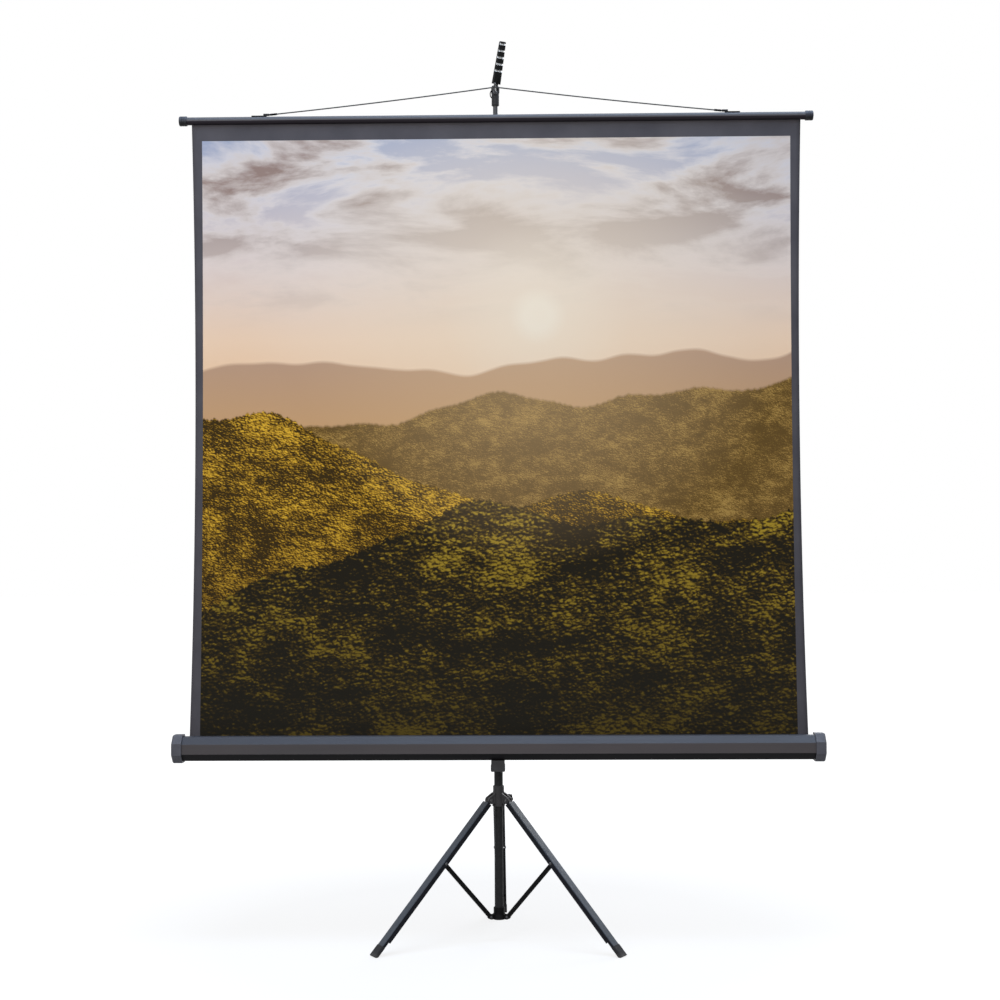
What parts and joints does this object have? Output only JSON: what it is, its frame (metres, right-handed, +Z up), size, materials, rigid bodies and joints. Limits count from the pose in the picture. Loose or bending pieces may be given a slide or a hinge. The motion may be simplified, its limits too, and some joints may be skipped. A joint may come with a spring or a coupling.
{
  "type": "tripod projection screen",
  "caption": "Portable roll-up projection screen: a spring roller in an octagonal case on a folding tripod post, its sheet hung from a slat by a wire on a sliding rod with a notched arm.",
  "frame": {"origin": "middle of the part's box, on the floor", "axes": "+Z up along the post, +X along the case to the viewer's right, +Y away from the viewer"},
  "size_m": [1.626, 0.5415, 2.2885],
  "materials": {
    "leg_steel": "semi-gloss blue-black paint",
    "post_steel": "satin black paint",
    "case_aluminium": "satin dark anodised",
    "black_plastic": "fine-grained moulding",
    "rubber": "dull moulded rubber",
    "bright_steel": "zinc plated",
    "screen_sheet": "matte white with black borders",
    "black_sheet": "matte black backing"
  },
  "bodies": {
    "post": {"post_tube": "post_steel", "brace_ring": "black_plastic", "post_collar": "black_plastic"},
    "rod_knob": {"rod_knob": "black_plastic"},
    "hub": {"hub": "black_plastic", "leg_pin_1": "bright_steel", "leg_pin_2": "bright_steel", "leg_pin_3": "bright_steel"},
    "hub_knob": {"hub_knob": "black_plastic"},
    "leg_1": {"leg_channel_1": "leg_steel", "leg_knuckle_1": "black_plastic", "leg_foot_1": "rubber", "brace_pin_1": "bright_steel"},
    "brace_1": {"brace_1": "post_steel"},
    "leg_2": {"leg_channel_2": "leg_steel", "leg_knuckle_2": "black_plastic", "leg_foot_2": "rubber", "brace_pin_2": "bright_steel"},
    "brace_2": {"brace_2": "post_steel"},
    "leg_3": {"leg_channel_3": "leg_steel", "leg_knuckle_3": "black_plastic", "leg_foot_3": "rubber", "brace_pin_3": "bright_steel"},
    "brace_3": {"brace_3": "post_steel"},
    "case": {"case_shell": "case_aluminium", "case_cap_left": "black_plastic", "case_cap_right": "black_plastic", "mount_plate": "post_steel", "carriage": "black_plastic", "latch_block": "black_plastic", "screen_sheet": "screen_sheet", "spring_spindle": "bright_steel", "roller_spring": "bright_steel"},
    "carriage_knob": {"carriage_knob": "black_plastic"},
    "roller": {"roller_tube": "bright_steel", "roller_plug": "black_plastic", "roller_bush": "black_plastic", "sheet_wrap": "black_sheet"},
    "rod": {"extension_rod": "post_steel", "rod_bush": "black_plastic", "rod_head": "black_plastic", "hanger_hook": "bright_steel", "hanger_wire": "post_steel", "slat_tube": "case_aluminium", "slat_cap_left": "black_plastic", "slat_cap_right": "black_plastic", "wire_clip_left": "post_steel", "wire_clip_right": "post_steel", "sheet_spline": "bright_steel", "arm_pin": "bright_steel"},
    "arm": {"keystone_arm": "black_plastic"}
  },
  "joints": [
    {"name": "hub_slide", "type": "slide", "parent": "post", "child": "hub", "axis": [0, 0, 1], "range_m": [0, 0.1008]},
    {"name": "leg_1_fold", "type": "hinge", "parent": "hub", "child": "leg_1", "pos_m": [0, -0.05646, 0.35376], "axis": [-1, 0, 0], "range_deg": [0, 42]},
    {"name": "leg_2_fold", "type": "hinge", "parent": "hub", "child": "leg_2", "pos_m": [-0.02165, -0.09396, 0.35376], "axis": [0.5, -0.866, 0], "range_deg": [0, 42]},
    {"name": "leg_3_fold", "type": "hinge", "parent": "hub", "child": "leg_3", "pos_m": [0.02165, -0.09396, 0.35376], "axis": [0.5, 0.866, 0], "range_deg": [0, 42]},
    {"name": "brace_1_fold", "type": "hinge", "parent": "leg_1", "child": "brace_1", "pos_m": [0, 0.07489, 0.20788], "axis": [-1, 0, 0], "range_deg": [-84, 0]},
    {"name": "brace_2_fold", "type": "hinge", "parent": "leg_2", "child": "brace_2", "pos_m": [-0.1354, -0.15963, 0.20788], "axis": [0.5, -0.866, 0], "range_deg": [-84, 0]},
    {"name": "brace_3_fold", "type": "hinge", "parent": "leg_3", "child": "brace_3", "pos_m": [0.1354, -0.15963, 0.20788], "axis": [0.5, 0.866, 0], "range_deg": [-84, 0]},
    {"name": "hub_knob_turn", "type": "hinge", "parent": "hub", "child": "hub_knob", "pos_m": [0, -0.08146, 0.35376], "axis": [0.866, 0.5, 0], "range_deg": [0, 360]},
    {"name": "case_slide", "type": "slide", "parent": "post", "child": "case", "axis": [0, 0, 1], "range_m": [0, 0.25]},
    {"name": "carriage_knob_turn", "type": "hinge", "parent": "case", "child": "carriage_knob", "pos_m": [0, -0.08146, 0.5225], "axis": [0, 1, 0], "range_deg": [0, 360]},
    {"name": "rod_slide", "type": "slide", "parent": "case", "child": "rod", "axis": [0, 0, 1], "range_m": [-0.8, 0], "deforming": ["screen_sheet"]},
    {"name": "roller_turn", "type": "hinge", "parent": "case", "child": "roller", "pos_m": [0, -0.14346, 0.491], "axis": [1, 0, 0], "range_deg": [-2300, 0]},
    {"name": "arm_fold", "type": "hinge", "parent": "rod", "child": "arm", "pos_m": [0, -0.08146, 2.175], "axis": [0.866, 0.5, 0], "range_deg": [-20, 60]},
    {"name": "rod_knob_turn", "type": "hinge", "parent": "post", "child": "rod_knob", "pos_m": [0, -0.08146, 1.2993], "axis": [0, 1, 0], "range_deg": [0, 360]}
  ],
  "couplings": [
    {"joint": "leg_1_fold", "follows": "hub_slide", "rad_per_m": 7.2692},
    {"joint": "leg_2_fold", "follows": "hub_slide", "rad_per_m": 7.2692},
    {"joint": "leg_3_fold", "follows": "hub_slide", "rad_per_m": 7.2692},
    {"joint": "brace_1_fold", "follows": "hub_slide", "rad_per_m": -14.538},
    {"joint": "brace_2_fold", "follows": "hub_slide", "rad_per_m": -14.538},
    {"joint": "brace_3_fold", "follows": "hub_slide", "rad_per_m": -14.538},
    {"joint": "roller_turn", "follows": "rod_slide", "rad_per_m": 49.5}
  ]
}
